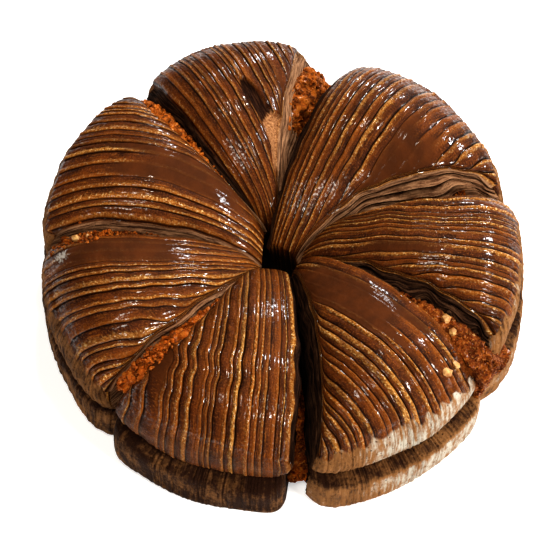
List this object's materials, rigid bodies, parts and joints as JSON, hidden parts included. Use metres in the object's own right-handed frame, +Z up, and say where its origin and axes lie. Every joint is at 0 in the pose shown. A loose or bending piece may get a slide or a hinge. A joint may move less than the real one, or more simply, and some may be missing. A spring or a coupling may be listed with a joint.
{
  "type": "laminated brioche",
  "caption": "Round laminated chocolate brioche: striped glossy lobes fan out from a pinched centre, slit at the rim, with a crumbly orange-brown filling in the gaps.",
  "frame": {"origin": "middle of the flat underside, on the loaf's axis", "axes": "+Z up along the loaf's axis, -Y towards the front lobe, +X to the right of it"},
  "size_m": [0.1909, 0.1926, 0.0592],
  "materials": {
    "dough": "glazed laminated chocolate dough, dark brown bands with golden lines",
    "filling": "crumbly orange-brown filling with chips of nut"
  },
  "bodies": {
    "root": {"dough": "dough", "filling": "filling"}
  },
  "joints": []
}
